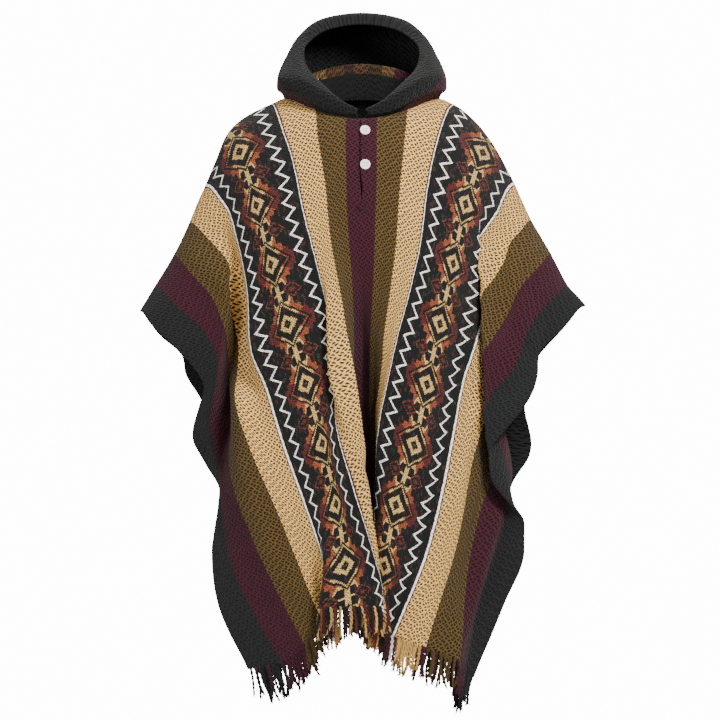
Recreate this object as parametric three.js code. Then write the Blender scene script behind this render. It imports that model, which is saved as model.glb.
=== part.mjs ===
// Hooded poncho of one striped, knitted length of cloth, hanging as it does on a standing wearer.
// Millimetres, +Z up, the front faces -Y, the origin lies on the shoulder line at the neck.
import * as THREE from 'three';

// ---- driving dimensions -------------------------------------------------------------------
const CLOTH_THICKNESS = 2.6;
const SEAM_GAP = 0.3;
const HALF_WIDTH = 540;
const SLIT_LENGTH = 140;
const SLIT_GAP = 0.6;
const FRINGE_LENGTH = 57;
const FRINGE_THICKNESS = 1.6;
const FRINGE_GAP = 1.5;
const BACK_DEPTH_SCALE = 0.94;
const BACK_EXTRA_DROP = 14;
const BACK_NARROWING = 0.96;
const SHOULDER_ROUNDING = 0.16;
const BUTTON_DIAMETER = 18.5;
const BUTTON_THICKNESS = 3.2;
const BUTTON_HOLE_DIAMETER = 2.2;
const BUTTON_HOLE_SPACING = 4.6;
const BUTTON_SIDE_STEP = 6;
const BUTTON_HEIGHTS = { button_upper: -52, button_lower: -110 };
const STAND_WIDTH = 26;
const STAND_GAP = 1.4;
const STAND_TOP_GAP = 12;
const STAND_PAST_SLIT = 4;
const STAND_SHARE_RIGHT = 0.6;
const BUTTON_LIFT = 1;
const FRINGE_PLUMB_SHARE = 0.5;
const HOOD_SEAM_ALLOWANCE = 4.5;

const FRONT_ROWS = 27;
const BACK_ROWS = 20;
const WIDEST_CELL = 45;
const HOOD_ROWS = 14;
const HOOD_CELLS_PER_SECTION = 2;
const BUTTON_SIDES = 24;
const HOLE_SIDES = 8;

// ---- how the cloth falls ------------------------------------------------------------------
// One row for each stripe edge or fold of the front, from the wearer's right selvedge to the left.
// width: flat distance from the middle of the cloth. fall: from the shoulder line or neckline to
// the hem, each entry is [down, across, out], where out is the distance in front of the shoulder line.
const FRONT_FALL = [
  { name: 'right selvedge', width: -540, fall: [
    [359, -381, 0], [384, -359, 30], [432, -308, 48], [490, -271, 42], [524, -280, 28],
    [573, -291, 14], [620, -269, 10], [671, -242, 18], [770, -257, 36], [858, -247, 48], [972, -195, 54]] },
  { name: 'right burgundy and charcoal', width: -487, fall: [
    [318, -356, 0], [342, -324, 38], [391, -271, 54], [444, -246, 56], [500, -254, 48],
    [544, -260, 38], [592, -252, 34], [634, -244, 34], [685, -240, 46], [790, -222, 68], [957, -137, 88]] },
  { name: 'right olive and burgundy', width: -425, fall: [
    [262, -322, 0], [286, -297, 36], [342, -251, 56], [372, -240, 56], [413, -232, 42],
    [481, -228, 20], [549, -224, 18], [600, -226, 46], [641, -222, 82], [755, -181, 102], [925, -98, 108]] },
  { name: 'right tan and olive', width: -365, fall: [
    [206, -295, 0], [228, -269, 36], [253, -247, 52], [279, -230, 62], [328, -224, 50],
    [396, -222, 30], [464, -221, 46], [507, -218, 84], [585, -193, 108], [714, -138, 120], [880, -73, 106]] },
  { name: 'right tan, middle', width: -333, fall: [
    [174, -282, 0], [196, -257, 38], [220, -238, 54], [248, -226, 66], [326, -213, 70],
    [427, -210, 72], [491, -192, 98], [585, -165, 114], [714, -113, 127], [800, -82, 114], [876, -48, 84]] },
  { name: 'right band, outer edge', width: -301, fall: [
    [143, -268, 0], [165, -244, 40], [187, -229, 56], [248, -212, 72], [326, -198, 88],
    [427, -191, 98], [491, -164, 110], [578, -137, 120], [714, -88, 130], [775, -67, 126], [872, -50, 108]] },
  { name: 'right band, outer third', width: -257, fall: [
    [98, -249, 0], [122, -232, 42], [187, -203, 82], [289, -176, 104], [393, -155, 114],
    [491, -127, 124], [590, -100, 131], [688, -72, 137], [787, -64, 140], [868, -73, 134]] },
  { name: 'right band, middle', width: -213, fall: [
    [54, -230, 0], [85, -208, 54], [187, -178, 100], [289, -153, 118], [393, -123, 126],
    [491, -93, 132], [590, -65, 137], [688, -43, 141], [787, -28, 146], [862, -22, 148]] },
  { name: 'right band, inner edge', width: -125, fall: [
    [2, -152, 0], [48, -132, 72], [90, -118, 98], [192, -96, 124], [282, -74, 134],
    [345, -60, 134], [422, -50, 128], [481, -46, 129], [537, -44, 134], [651, -14, 146], [731, 10, 151],
    [801, 28, 152], [862, 42, 148]] },
  { name: 'right tan, fold edge', width: -108, fall: [
    [-6, -132, 6], [48, -110, 84], [90, -101, 104], [192, -80, 128], [282, -64, 137],
    [345, -60, 141], [422, -58, 146], [481, -53, 148], [537, -34, 149], [651, 10, 153], [731, 21, 153],
    [801, 28, 146], [858, 28, 140]] },
  { name: 'right olive and tan', width: -74, fall: [
    [15, -79, 66], [70, -73, 108], [141, -62, 124], [243, -52, 136], [328, -36, 142],
    [406, -23, 146], [468, -11, 149], [539, -1, 150], [600, 5, 148], [651, 2, 138], [760, -6, 126],
    [850, -6, 122]] },
  { name: 'right burgundy and olive', width: -26, fall: [
    [33, -26, 88], [70, -27, 112], [124, -26, 124], [182, -25, 131], [243, -21, 132],
    [328, -16, 126], [406, -14, 110], [515, -18, 98], [640, -18, 90], [760, -14, 84], [850, -13, 82]] },
  { name: 'middle', width: 0, fall: [
    [39, 0, 92], [90, 0, 117], [182, 0, 132], [260, 0, 129], [345, 2, 113],
    [406, 2, 96], [515, 1, 74], [620, 2, 62], [740, 4, 56], [856, 6, 56]] },
  { name: 'left burgundy and olive', width: 26, fall: [
    [33, 25, 88], [70, 25, 112], [124, 25, 124], [182, 23, 131], [260, 21, 130],
    [345, 18, 118], [406, 15, 106], [515, 14, 90], [640, 20, 76], [760, 24, 66], [862, 26, 62]] },
  { name: 'left olive and tan', width: 74, fall: [
    [15, 79, 66], [70, 72, 108], [141, 65, 124], [243, 58, 134], [328, 48, 130],
    [406, 38, 125], [464, 34, 120], [549, 24, 109], [640, 30, 94], [760, 38, 84], [868, 40, 80]] },
  { name: 'left tan, middle of the inner stripe', width: 108, fall: [
    [-6, 132, 6], [48, 112, 84], [99, 101, 106], [173, 91, 122], [241, 85, 131],
    [328, 69, 135], [400, 53, 134], [484, 39, 132], [551, 27, 125], [650, 25, 112], [760, 22, 98], [872, 20, 91]] },
  { name: 'left band, inner edge', width: 125, fall: [
    [3, 155, 0], [56, 129, 76], [99, 118, 102], [173, 106, 120], [241, 98, 130],
    [328, 79, 136], [400, 60, 138], [484, 42, 137], [551, 29, 132], [650, 24, 118], [760, 16, 104], [874, 14, 96]] },
  { name: 'left band, inner third', width: 169, fall: [
    [31, 192, 0], [62, 172, 56], [120, 158, 92], [185, 142, 110], [290, 122, 128],
    [393, 96, 136], [488, 75, 140], [590, 55, 140], [697, 28, 134], [787, 14, 121], [876, 9, 110]] },
  { name: 'left band, middle', width: 213, fall: [
    [65, 220, 0], [92, 204, 48], [183, 175, 96], [290, 153, 118], [393, 130, 130],
    [488, 110, 138], [590, 89, 142], [697, 56, 143], [787, 40, 138], [880, 24, 124]] },
  { name: 'left band, outer third', width: 257, fall: [
    [102, 242, 0], [125, 226, 42], [183, 205, 76], [290, 178, 106], [393, 159, 119],
    [488, 138, 128], [590, 119, 134], [697, 91, 136], [787, 68, 134], [887, 38, 126]] },
  { name: 'left band, outer edge', width: 301, fall: [
    [141, 262, 0], [167, 241, 38], [192, 230, 55], [216, 213, 68], [241, 198, 76], [285, 212, 62],
    [345, 212, 62], [406, 197, 88], [478, 174, 106], [556, 159, 116], [639, 144, 122], [772, 111, 124],
    [913, 54, 122]] },
  { name: 'left tan, middle', width: 333, fall: [
    [172, 276, 0], [194, 256, 36], [216, 240, 50], [245, 220, 68], [285, 199, 88], [330, 222, 62],
    [385, 228, 56], [440, 208, 82], [500, 188, 98], [640, 170, 110], [772, 138, 116], [923, 82, 116]] },
  { name: 'left tan and olive', width: 365, fall: [
    [202, 290, 0], [222, 270, 36], [240, 254, 48], [279, 241, 62], [306, 224, 76],
    [335, 202, 94], [380, 226, 66], [430, 238, 52], [498, 226, 62], [557, 205, 88], [588, 195, 95],
    [751, 162, 108], [933, 108, 108]] },
  { name: 'left olive, middle', width: 395, fall: [
    [231, 307, 0], [253, 286, 38], [285, 262, 58], [325, 240, 72], [362, 217, 92], [385, 203, 102],
    [425, 222, 80], [470, 238, 54], [540, 232, 54], [600, 212, 78], [640, 204, 88], [760, 176, 100],
    [945, 138, 100]] },
  { name: 'left olive and burgundy', width: 425, fall: [
    [260, 324, 0], [282, 302, 38], [318, 268, 60], [365, 249, 76], [410, 219, 98],
    [430, 206, 106], [473, 222, 86], [532, 240, 56], [600, 236, 50], [651, 218, 72], [680, 207, 83],
    [753, 188, 92], [957, 167, 90]] },
  { name: 'left burgundy, middle', width: 455, fall: [
    [289, 339, 0], [311, 314, 38], [365, 266, 72], [439, 230, 98], [481, 209, 108],
    [524, 222, 90], [583, 248, 54], [631, 257, 44], [677, 244, 54], [719, 230, 68], [790, 213, 75],
    [962, 170, 66]] },
  { name: 'left burgundy and charcoal', width: 487, fall: [
    [316, 354, 0], [335, 327, 38], [389, 283, 66], [456, 259, 86], [508, 216, 104],
    [534, 208, 109], [566, 224, 96], [592, 238, 84], [622, 247, 74], [651, 254, 62], [694, 248, 52],
    [745, 234, 54], [862, 196, 58], [974, 174, 42]] },
  { name: 'left charcoal, middle', width: 513, fall: [
    [333, 370, 0], [360, 336, 34], [410, 300, 58], [465, 277, 76], [505, 252, 94], [535, 226, 107],
    [562, 210, 113], [592, 217, 108], [622, 232, 98], [651, 244, 84], [690, 258, 62], [745, 256, 46],
    [862, 222, 44], [981, 183, 30]] },
  { name: 'left selvedge', width: 540, fall: [
    [350, 385, 0], [388, 346, 34], [432, 304, 56], [473, 300, 70], [502, 290, 84],
    [537, 266, 98], [562, 244, 108], [592, 222, 113], [622, 218, 112], [652, 224, 104], [680, 245, 84],
    [721, 279, 48], [768, 279, 36], [862, 244, 34], [988, 191, 20]] },
];

// The back falls as the front does, but its neckline sits higher, and its selvedges hang a little
// wider under the arms.
const BACK_NECKLINE = { 0: [-8, 0, 56], 26: [-7, 25, 55], 74: [-2, 74, 44], 108: [-6, 132, 6] };
const BACK_SELVEDGES = {
  '-540': [
    [359, -381, 0], [400, -346, 30], [432, -310, 44], [462, -304, 52], [500, -280, 60],
    [540, -258, 62], [620, -236, 56], [720, -232, 60], [858, -222, 70], [972, -176, 78]],
  540: [
    [350, 385, 0], [388, 346, 32], [440, 300, 50], [517, 281, 64], [580, 293, 60],
    [600, 289, 56], [640, 262, 54], [720, 246, 56], [862, 218, 66], [988, 172, 74]],
};

// ---- the hood -----------------------------------------------------------------------------
// One row for each section on the wearer's right, from the throat to the middle of the back.
// seam: how far round the neckline it is sewn on, flat, from the middle of the front. run: from
// there, each entry [across, back, up]: the roll of the inner layer, the bottom of the pouch, its
// outside, the shoulder of the hood, its crest and its rim.
const NECK_CORNER = 108;
const HOOD_SECTIONS = [
  { seam: 4, run: [
    [-6, -100, -33], [-8, -103, -31], [-8, -104, -29], [-7, -105, -26], [-5, -104, -24], [-3, -102, -23]] },
  { seam: 42, run: [
    [-49, -93, -17], [-52, -99, -15], [-51, -102, -9], [-47, -103, -2], [-41, -101, 2], [-35, -97, 0]] },
  { seam: 80, run: [
    [-98, -66, 6], [-106, -76, 14], [-105, -80, 25], [-95, -82, 35], [-80, -79, 35], [-66, -74, 28]] },
  { seam: 100, run: [
    [-134, -26, 16], [-141, -34, 24], [-141, -36, 40], [-129, -34, 56], [-108, -38, 63], [-90, -42, 53]] },
  { seam: 112, run: [
    [-136, 14, 16], [-145, 18, 27], [-144, 22, 51], [-132, 18, 78], [-115, 6, 90], [-99, -8, 82]] },
  { seam: 126, run: [
    [-108, 46, 34], [-122, 66, 10], [-137, 82, 30], [-124, 66, 90], [-106, 40, 113], [-90, 22, 100]] },
  { seam: 156, run: [
    [-66, 62, 52], [-80, 108, -38], [-104, 130, -10], [-92, 112, 92], [-69, 68, 140], [-57, 44, 121]] },
  { seam: 216, run: [
    [0, 68, 61], [0, 128, -84], [0, 156, -46], [0, 136, 92], [0, 78, 151], [0, 54, 130]] },
];

// ---- smooth lines through the rows --------------------------------------------------------
// Cubic through values at rising places, with slopes held so that it never overshoots.
function slopesOf(places, values) {
  const last = places.length - 1;
  const rise = [];
  for (let i = 0; i < last; i += 1) rise.push((values[i + 1] - values[i]) / (places[i + 1] - places[i]));
  const slopes = [rise[0]];
  for (let i = 1; i < last; i += 1) {
    const before = places[i] - places[i - 1];
    const after = places[i + 1] - places[i];
    const mean = (rise[i - 1] * after + rise[i] * before) / (before + after);
    const steepest = 3 * Math.min(Math.abs(rise[i - 1]), Math.abs(rise[i]));
    const turns = rise[i - 1] * rise[i] <= 0;
    slopes.push(turns ? 0 : Math.sign(mean) * Math.min(Math.abs(mean), steepest));
  }
  slopes.push(rise[last - 1]);
  return slopes;
}

function curveThrough(places, values) {
  const slopes = slopesOf(places, values);
  return (place) => {
    let i = 0;
    while (i < places.length - 2 && place > places[i + 1]) i += 1;
    const span = places[i + 1] - places[i];
    const s = (place - places[i]) / span;
    const a = 1 - s;
    return values[i] * a * a * (1 + 2 * s) + values[i + 1] * s * s * (3 - 2 * s)
      + span * s * a * (slopes[i] * a - slopes[i + 1] * s);
  };
}

// Share of the drop at a share of the way down: slow at the shoulder, so the cloth rounds over it.
const ROUNDING_SPAN = Math.hypot(1, SHOULDER_ROUNDING) - SHOULDER_ROUNDING;
const dropShare = (way) => (Math.hypot(way, SHOULDER_ROUNDING) - SHOULDER_ROUNDING) / ROUNDING_SPAN;
const wayOfDrop = (drop) => Math.sqrt((drop * ROUNDING_SPAN + SHOULDER_ROUNDING) ** 2 - SHOULDER_ROUNDING ** 2);

// The stripe edges as curves of the way down, 0 at the shoulder and 1 at the hem.
function fallCurves(rows) {
  return rows.map(({ width, fall }) => {
    const top = fall[0][0];
    const drop = fall.at(-1)[0] - top;
    const ways = fall.map(([down]) => wayOfDrop((down - top) / drop));
    const across = curveThrough(ways, fall.map((entry) => entry[1]));
    const out = curveThrough(ways, fall.map((entry) => entry[2]));
    return { width, at: (way) => [across(way), out(way), -top - drop * dropShare(way)] };
  });
}

// A function of the way down that gives a function of the flat width: a point of the cloth.
function clothSurface(rows, facing) {
  const curves = fallCurves(rows);
  const widths = curves.map((curve) => curve.width);
  return (way) => {
    const places = curves.map((curve) => curve.at(way));
    const [across, out, up] = [0, 1, 2].map((axis) => curveThrough(widths, places.map((place) => place[axis])));
    return (width) => new THREE.Vector3(across(width), facing * (out(width) + SEAM_GAP / 2), up(width));
  };
}

// ---- closed walls of cloth ----------------------------------------------------------------
// Square to the cloth at each point of a grid.
function normalsOf(grid) {
  const lastRow = grid.length - 1;
  const lastColumn = grid[0].length - 1;
  return grid.map((row, j) => row.map((_, i) => {
    const acrossCloth = row[Math.min(i + 1, lastColumn)].clone().sub(row[Math.max(i - 1, 0)]);
    const downCloth = grid[Math.min(j + 1, lastRow)][i].clone().sub(grid[Math.max(j - 1, 0)][i]);
    return acrossCloth.cross(downCloth).normalize();
  }));
}

// On the shoulder line front and back end square to the fold, so that they meet face to face.
function shoulderedNormals(grid) {
  const normals = normalsOf(grid);
  grid[0].forEach((point, i) => {
    if (Math.abs(point.y) < SEAM_GAP) normals[0][i].setY(0).normalize();
  });
  return normals;
}

// A wall of even thickness on a grid of points; kept(i, j) says which cells are cloth.
function clothWall(grid, normals = normalsOf(grid), kept = () => true, thickness = CLOTH_THICKNESS) {
  const rows = grid.length;
  const columns = grid[0].length;
  const positions = [];
  for (const side of [0.5, -0.5]) {
    grid.forEach((row, j) => row.forEach((point, i) => {
      positions.push(...point.clone().addScaledVector(normals[j][i], side * thickness).toArray());
    }));
  }
  const far = rows * columns;
  const faces = [];
  const has = (i, j) => i >= 0 && j >= 0 && i < columns - 1 && j < rows - 1 && kept(i, j);
  const wall = (a, b) => faces.push(a, b, b + far, a, b + far, a + far);
  for (let j = 0; j < rows - 1; j += 1) {
    for (let i = 0; i < columns - 1; i += 1) {
      if (!has(i, j)) continue;
      const [a, b, c, d] = [j * columns + i, j * columns + i + 1, (j + 1) * columns + i + 1, (j + 1) * columns + i];
      faces.push(a, b, c, a, c, d, a + far, c + far, b + far, a + far, d + far, c + far);
      if (!has(i, j - 1)) wall(b, a);
      if (!has(i, j + 1)) wall(d, c);
      if (!has(i - 1, j)) wall(a, d);
      if (!has(i + 1, j)) wall(c, b);
    }
  }
  return closedGeometry(positions, faces);
}

// Keeps only the points in use, and turns the faces outward.
function closedGeometry(positions, faces) {
  const used = [...new Set(faces)];
  const place = new Map(used.map((index, k) => [index, k]));
  const kept = used.flatMap((index) => positions.slice(3 * index, 3 * index + 3));
  const triangles = faces.map((index) => place.get(index));
  let volume = 0;
  for (let k = 0; k < triangles.length; k += 3) {
    const [a, b, c] = [0, 1, 2].map((n) => new THREE.Vector3().fromArray(kept, 3 * triangles[k + n]));
    volume += a.dot(b.cross(c));
  }
  if (volume < 0) triangles.reverse();
  const geometry = new THREE.BufferGeometry();
  geometry.setAttribute('position', new THREE.Float32BufferAttribute(kept, 3));
  geometry.setIndex(triangles);
  return geometry;
}

// ---- the two halves of the cloth and their fringes ----------------------------------------
const clothMaterial = (color) => new THREE.MeshStandardMaterial({ color, roughness: 0.95, metalness: 0 });
const poncho = new THREE.Group();
function addPiece(name, geometry, material) {
  const mesh = new THREE.Mesh(geometry, material);
  mesh.name = name;
  poncho.add(mesh);
}

// Flat widths of the grid lines, with a narrow cell at the middle that the slit takes out.
function gridWidths(rows) {
  const edges = rows.map((row) => row.width).filter((width) => width !== 0);
  const widths = [];
  edges.forEach((edge, k) => {
    if (k === edges.length - 1) return;
    const next = edges[k + 1];
    if (edge < 0 && next > 0) {
      widths.push(edge, edge / 2, -SLIT_GAP / 2, SLIT_GAP / 2, next / 2);
      return;
    }
    const cells = Math.ceil((next - edge) / WIDEST_CELL);
    for (let n = 0; n < cells; n += 1) widths.push(edge + ((next - edge) * n) / cells);
  });
  widths.push(HALF_WIDTH);
  return widths;
}

function clothGrid(rows, facing, rowCount) {
  const surface = clothSurface(rows, facing);
  const widths = gridWidths(rows);
  return Array.from({ length: rowCount + 1 }, (_, j) => {
    const pointAt = surface(j / rowCount);
    return widths.map(pointAt);
  });
}

// The fringe hangs on from the hem in the line of the cloth, turning towards the plumb line.
const PLUMB = new THREE.Vector3(0, 0, -1);
function fringeWall(grid, normals) {
  const hem = grid.at(-1);
  const line = hem.map((point, i) => point.clone().sub(grid.at(-2)[i]).normalize());
  const roots = hem.map((point, i) => point.clone().addScaledVector(line[i], FRINGE_GAP));
  const tips = roots.map((root, i) => {
    const hang = line[i].clone().lerp(PLUMB, FRINGE_PLUMB_SHARE).normalize();
    return root.clone().addScaledVector(hang, FRINGE_LENGTH);
  });
  return clothWall([roots, tips], [normals.at(-1), normals.at(-1)], () => true, FRINGE_THICKNESS);
}

const backRows = FRONT_FALL.map((row) => {
  const fall = [...(BACK_SELVEDGES[row.width] ?? row.fall)];
  const neck = BACK_NECKLINE[Math.abs(row.width)];
  if (neck) fall[0] = [neck[0], Math.sign(row.width) * neck[1], neck[2]];
  const lengthened = fall.map(([down, across, out], k) => [
    down + (BACK_EXTRA_DROP * k) / (fall.length - 1),
    across * (k === 0 || Math.abs(row.width) === HALF_WIDTH ? 1 : BACK_NARROWING),
    out * BACK_DEPTH_SCALE,
  ]);
  return { ...row, fall: lengthened };
});

const frontGrid = clothGrid(FRONT_FALL, -1, FRONT_ROWS);
const slitColumn = gridWidths(FRONT_FALL).indexOf(-SLIT_GAP / 2);
const slitRows = frontGrid.findIndex((row) => row[slitColumn].z < frontGrid[0][slitColumn].z - SLIT_LENGTH);
const frontNormals = shoulderedNormals(frontGrid);
const isCloth = (i, j) => i !== slitColumn || j >= slitRows;
addPiece('front_cloth', clothWall(frontGrid, frontNormals, isCloth), clothMaterial(0x5b4a33));

const backGrid = clothGrid(backRows, 1, BACK_ROWS);
const backNormals = shoulderedNormals(backGrid);
addPiece('back_cloth', clothWall(backGrid, backNormals), clothMaterial(0x4d4338));
addPiece('fringe_front', fringeWall(frontGrid, frontNormals), clothMaterial(0x6a5236));
addPiece('fringe_back', fringeWall(backGrid, backNormals), clothMaterial(0x6a5236));

// ---- the hood, mirrored to the wearer's left ----------------------------------------------
const AXES = ['x', 'y', 'z'];
function hoodGrid() {
  const necklines = { front: clothSurface(FRONT_FALL, -1)(0), back: clothSurface(backRows, 1)(0) };
  const sewnPoint = (seam, side) => (seam <= NECK_CORNER
    ? necklines.front(side * seam) : necklines.back(side * (2 * NECK_CORNER - seam)));
  const mirrored = HOOD_SECTIONS.slice(0, -1).reverse().map(({ run }) => run.map(([x, y, z]) => [-x, y, z]));
  const runs = [...HOOD_SECTIONS.map(({ run }) => run), ...mirrored];
  const stations = runs.map((_, k) => k);
  const middle = HOOD_SECTIONS.length - 1;
  const seamAt = curveThrough(stations.slice(0, middle + 1), HOOD_SECTIONS.map(({ seam }) => seam));
  const columns = Array.from({ length: (runs.length - 1) * HOOD_CELLS_PER_SECTION + 1 }, (_, i) => {
    const station = i / HOOD_CELLS_PER_SECTION;
    const points = runs[0].map((_entry, n) => {
      const place = AXES.map((_axis, k) => curveThrough(stations, runs.map((run) => run[n][k]))(station));
      return new THREE.Vector3(...place);
    });
    const side = station <= middle ? -1 : 1;
    const sewn = sewnPoint(seamAt(Math.min(station, 2 * middle - station)), side);
    const away = points[0].clone().sub(sewn).normalize();
    return [sewn.addScaledVector(away, HOOD_SEAM_ALLOWANCE), ...points];
  });
  const rings = columns[0].map((_, n) => n);
  const along = columns.map((points) => AXES.map((axis) => curveThrough(rings, points.map((p) => p[axis]))));
  return Array.from({ length: HOOD_ROWS + 1 }, (_, j) => {
    const ring = (j / HOOD_ROWS) * (rings.length - 1);
    return along.map((curves) => new THREE.Vector3(...curves.map((curve) => curve(ring))));
  });
}
addPiece('hood', clothWall(hoodGrid()), clothMaterial(0x2f3031));

// ---- the neck slit: button stand and buttons ----------------------------------------------
const frontSurface = clothSurface(FRONT_FALL, -1);
const middleTop = -FRONT_FALL.find((row) => row.width === 0).fall[0][0];
const middleDrop = middleTop + FRONT_FALL.find((row) => row.width === 0).fall.at(-1)[0];
const wayAtHeight = (height) => wayOfDrop((middleTop - height) / middleDrop);
const NEXT_WIDTH = 1;
const NEXT_WAY = 0.005;
function frontNormal(width, way) {
  const acrossCloth = frontSurface(way)(width + NEXT_WIDTH).sub(frontSurface(way)(width - NEXT_WIDTH));
  const downCloth = frontSurface(way + NEXT_WAY)(width).sub(frontSurface(way - NEXT_WAY)(width));
  return acrossCloth.cross(downCloth).normalize().negate();
}

const STAND_ROWS = 8;
const STAND_COLUMNS = 4;
const standGrid = Array.from({ length: STAND_ROWS + 1 }, (_, j) => {
  const way = wayAtHeight(middleTop - STAND_TOP_GAP - (j / STAND_ROWS) * (SLIT_LENGTH + STAND_PAST_SLIT));
  return Array.from({ length: STAND_COLUMNS + 1 }, (_unused, i) => {
    const width = (i / STAND_COLUMNS - STAND_SHARE_RIGHT) * STAND_WIDTH;
    return frontSurface(way)(width).addScaledVector(frontNormal(width, way), -CLOTH_THICKNESS - STAND_GAP);
  });
});
addPiece('button_stand', clothWall(standGrid), clothMaterial(0x54263a));

function buttonGeometry() {
  const outline = new THREE.Shape();
  outline.absarc(0, 0, BUTTON_DIAMETER / 2, 0, 2 * Math.PI);
  for (const [x, y] of [[1, 1], [-1, 1], [-1, -1], [1, -1]]) {
    const hole = new THREE.Path();
    const half = BUTTON_HOLE_SPACING / 2;
    hole.setFromPoints(Array.from({ length: HOLE_SIDES }, (_, k) => {
      const turn = (-2 * Math.PI * k) / HOLE_SIDES;
      const radius = BUTTON_HOLE_DIAMETER / 2;
      return new THREE.Vector2(x * half + radius * Math.cos(turn), y * half + radius * Math.sin(turn));
    }));
    outline.holes.push(hole);
  }
  const options = { depth: BUTTON_THICKNESS, bevelEnabled: false, curveSegments: BUTTON_SIDES };
  return new THREE.ExtrudeGeometry(outline, options);
}

const buttonMaterial = new THREE.MeshStandardMaterial({ color: 0xf4f0e6, roughness: 0.35, metalness: 0 });
for (const [name, height] of Object.entries(BUTTON_HEIGHTS)) {
  const way = wayAtHeight(height);
  const outward = frontNormal(BUTTON_SIDE_STEP, way);
  const mesh = new THREE.Mesh(buttonGeometry(), buttonMaterial);
  mesh.name = name;
  mesh.position.copy(frontSurface(way)(BUTTON_SIDE_STEP));
  mesh.position.addScaledVector(outward, CLOTH_THICKNESS / 2 + BUTTON_LIFT);
  mesh.quaternion.setFromUnitVectors(new THREE.Vector3(0, 0, 1), outward);
  poncho.add(mesh);
}

export default poncho;
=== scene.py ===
# A hooded poncho: one striped, knitted length of cloth with a hood, a buttoned neck slit and fringes,
# hanging as it does on a standing wearer. Metres; the front faces -Y and Z is up.
import math
import random

import bmesh
import bpy
import numpy as np
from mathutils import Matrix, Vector, noise


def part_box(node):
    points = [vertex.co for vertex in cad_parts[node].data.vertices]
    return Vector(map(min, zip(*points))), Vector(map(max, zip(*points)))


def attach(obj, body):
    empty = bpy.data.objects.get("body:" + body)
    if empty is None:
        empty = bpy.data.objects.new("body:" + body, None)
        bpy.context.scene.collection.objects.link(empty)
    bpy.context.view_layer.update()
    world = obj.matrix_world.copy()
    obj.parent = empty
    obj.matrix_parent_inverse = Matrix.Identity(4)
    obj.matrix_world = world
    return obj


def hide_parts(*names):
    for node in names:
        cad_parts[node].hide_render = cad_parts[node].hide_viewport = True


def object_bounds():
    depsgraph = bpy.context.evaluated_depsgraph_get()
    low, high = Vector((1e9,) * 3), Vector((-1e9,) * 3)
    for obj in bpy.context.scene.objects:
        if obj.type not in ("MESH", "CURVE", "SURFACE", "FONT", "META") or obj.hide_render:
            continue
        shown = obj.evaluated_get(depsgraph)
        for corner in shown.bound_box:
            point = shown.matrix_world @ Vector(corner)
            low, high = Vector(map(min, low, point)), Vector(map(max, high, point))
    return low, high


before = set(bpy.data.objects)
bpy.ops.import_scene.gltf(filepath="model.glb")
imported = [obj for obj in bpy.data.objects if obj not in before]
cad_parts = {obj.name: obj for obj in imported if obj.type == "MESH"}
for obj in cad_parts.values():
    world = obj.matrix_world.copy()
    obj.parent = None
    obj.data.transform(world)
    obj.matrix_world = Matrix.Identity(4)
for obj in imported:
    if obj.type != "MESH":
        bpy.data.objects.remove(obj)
cad_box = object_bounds()
MM = 0.001


# ---- 1. the cloth --------------------------------------------------------------------------
# One length of thick, soft wool knit, knitted in long stripes that run over the shoulders from hem
# to hem. The neck is cut out at its middle. Nothing else is sewn in it: it falls in its own folds.
CLOTH_THICKNESS = 3.0
HALF_WIDTH = 540
SHOULDER_ROUNDING = 0.16
BACK_DEPTH_SCALE = 0.94
BACK_EXTRA_DROP = 14
BACK_NARROWING = 0.96
NECK_CORNER = 108
SLIT_LENGTH = 140
SLIT_WIDTH = 0.6

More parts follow.
